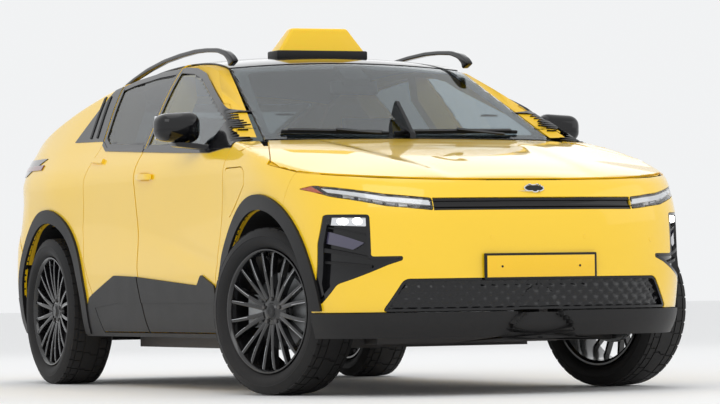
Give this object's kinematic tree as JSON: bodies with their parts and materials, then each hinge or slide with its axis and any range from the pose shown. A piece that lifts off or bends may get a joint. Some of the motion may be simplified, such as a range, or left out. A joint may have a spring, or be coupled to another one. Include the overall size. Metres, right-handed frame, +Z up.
{
  "type": "taxi car",
  "caption": "Compact electric crossover taxi with opening doors, hood, tailgate and charge flap, steered front wheels, roof rails and a blank lit roof sign.",
  "frame": {"origin": "on the ground, midway between the front plate and the rear bumper, on the car's middle plane", "axes": "+X to the car's left, +Y to its rear, +Z up"},
  "size_m": [2.1216, 4.52, 1.6821],
  "materials": {
    "yellow_paint": "gloss coat over yellow paint",
    "black_gloss": "polished black",
    "black_satin": "fine grained satin black",
    "window_glass": "clear tinted glass",
    "steel_black": "black underbody coat",
    "lamp_clear": "clear lamp cover",
    "lamp_red": "dark red lamp cover",
    "sign_yellow": "smooth moulded plastic",
    "plate_yellow": "reflective sheet in a black holder",
    "cast_alloy": "as cast",
    "cabin_plastic": "grained soft touch",
    "seat_fabric": "woven cloth with sewn seams",
    "wheel_leather": "smooth leather",
    "tyre_rubber": "rubber with tread",
    "rim_black": "gloss black with machined faces"
  },
  "bodies": {
    "body": {"floor_pan": "steel_black", "battery_pack": "steel_black", "body_sides": "yellow_paint", "roof_panel": "black_gloss", "windscreen": "window_glass", "bulkhead": "steel_black", "front_fenders": "yellow_paint", "front_bumper": "yellow_paint", "front_valance": "black_satin", "lower_grille": "black_gloss", "headlamps": "lamp_clear", "grille_bar": "black_gloss", "corner_lamps": "black_gloss", "rear_bumper": "yellow_paint", "tail_lamps": "lamp_red", "roof_rails": "black_gloss", "taxi_sign": "sign_yellow", "number_plates": "plate_yellow", "arch_trims": "black_satin", "wheel_liners": "black_satin", "front_suspension": "steel_black", "rear_suspension": "steel_black", "drive_motor": "cast_alloy", "dashboard": "cabin_plastic", "front_seats": "seat_fabric", "rear_seat": "seat_fabric"},
    "front_upright_left": {"knuckle_left": "cast_alloy"},
    "front_wheel_left": {"tyre_front_left": "tyre_rubber", "rim_front_left": "rim_black"},
    "rear_wheel_left": {"tyre_rear_left": "tyre_rubber", "rim_rear_left": "rim_black"},
    "front_door_left": {"front_door_left": "yellow_paint", "front_glass_left": "window_glass", "mirror_left": "black_gloss"},
    "rear_door_left": {"rear_door_left": "yellow_paint", "rear_glass_left": "window_glass"},
    "front_upright_right": {"knuckle_right": "cast_alloy"},
    "front_wheel_right": {"tyre_front_right": "tyre_rubber", "rim_front_right": "rim_black"},
    "rear_wheel_right": {"tyre_rear_right": "tyre_rubber", "rim_rear_right": "rim_black"},
    "front_door_right": {"front_door_right": "yellow_paint", "front_glass_right": "window_glass", "mirror_right": "black_gloss"},
    "rear_door_right": {"rear_door_right": "yellow_paint", "rear_glass_right": "window_glass"},
    "steering_wheel": {"steering_wheel": "wheel_leather"},
    "hood": {"hood": "yellow_paint"},
    "tailgate": {"tailgate": "yellow_paint", "tailgate_glass": "window_glass"},
    "charge_flap": {"charge_flap": "yellow_paint"}
  },
  "joints": [
    {"name": "steer_left", "type": "hinge", "parent": "body", "child": "front_upright_left", "pos_m": [0.76, -1.375, 0.36], "axis": [0, 0, 1], "range_deg": [-53.5, 18.5]},
    {"name": "steer_right", "type": "hinge", "parent": "body", "child": "front_upright_right", "pos_m": [-0.76, -1.375, 0.36], "axis": [0, 0, 1], "range_deg": [-53.5, 18.5]},
    {"name": "front_wheel_left_spin", "type": "hinge", "parent": "front_upright_left", "child": "front_wheel_left", "pos_m": [0.79815, -1.36297, 0.36], "axis": [0.9537, 0.3007, 0], "continuous": true},
    {"name": "front_wheel_right_spin", "type": "hinge", "parent": "front_upright_right", "child": "front_wheel_right", "pos_m": [-0.79815, -1.38703, 0.36], "axis": [0.9537, 0.3007, 0], "continuous": true},
    {"name": "rear_wheel_left_spin", "type": "hinge", "parent": "body", "child": "rear_wheel_left", "pos_m": [0.8, 1.375, 0.36], "axis": [1, 0, 0], "continuous": true},
    {"name": "rear_wheel_right_spin", "type": "hinge", "parent": "body", "child": "rear_wheel_right", "pos_m": [-0.8, 1.375, 0.36], "axis": [1, 0, 0], "continuous": true},
    {"name": "steering_wheel_turn", "type": "hinge", "parent": "body", "child": "steering_wheel", "pos_m": [0.37, -0.64, 0.89], "axis": [0, 0.9272, 0.3746], "range_deg": [-749, 259]},
    {"name": "front_door_left_hinge", "type": "hinge", "parent": "body", "child": "front_door_left", "pos_m": [0.9098, -1.0005, 0.7], "axis": [0, 0, -1], "range_deg": [0, 68]},
    {"name": "front_door_right_hinge", "type": "hinge", "parent": "body", "child": "front_door_right", "pos_m": [-0.9098, -1.0005, 0.7], "axis": [0, 0, 1], "range_deg": [0, 68]},
    {"name": "rear_door_left_hinge", "type": "hinge", "parent": "body", "child": "rear_door_left", "pos_m": [0.9064, 0.0845, 0.7], "axis": [0, 0, -1], "range_deg": [0, 70]},
    {"name": "rear_door_right_hinge", "type": "hinge", "parent": "body", "child": "rear_door_right", "pos_m": [-0.9064, 0.0845, 0.7], "axis": [0, 0, 1], "range_deg": [0, 70]},
    {"name": "hood_hinge", "type": "hinge", "parent": "body", "child": "hood", "pos_m": [0, -0.985, 1.1161], "axis": [-1, 0, 0], "range_deg": [0, 55]},
    {"name": "tailgate_hinge", "type": "hinge", "parent": "body", "child": "tailgate", "pos_m": [0, 1.266, 1.4552], "axis": [1, 0, 0], "range_deg": [0, 75]},
    {"name": "charge_flap_hinge", "type": "hinge", "parent": "body", "child": "charge_flap", "pos_m": [-0.9172, -1.2355, 0.9], "axis": [0, 0, 1], "range_deg": [0, 100]}
  ],
  "couplings": [
    {"joint": "steer_right", "follows": "steer_left", "ratio": 1},
    {"joint": "steering_wheel_turn", "follows": "steer_left", "ratio": 14}
  ]
}
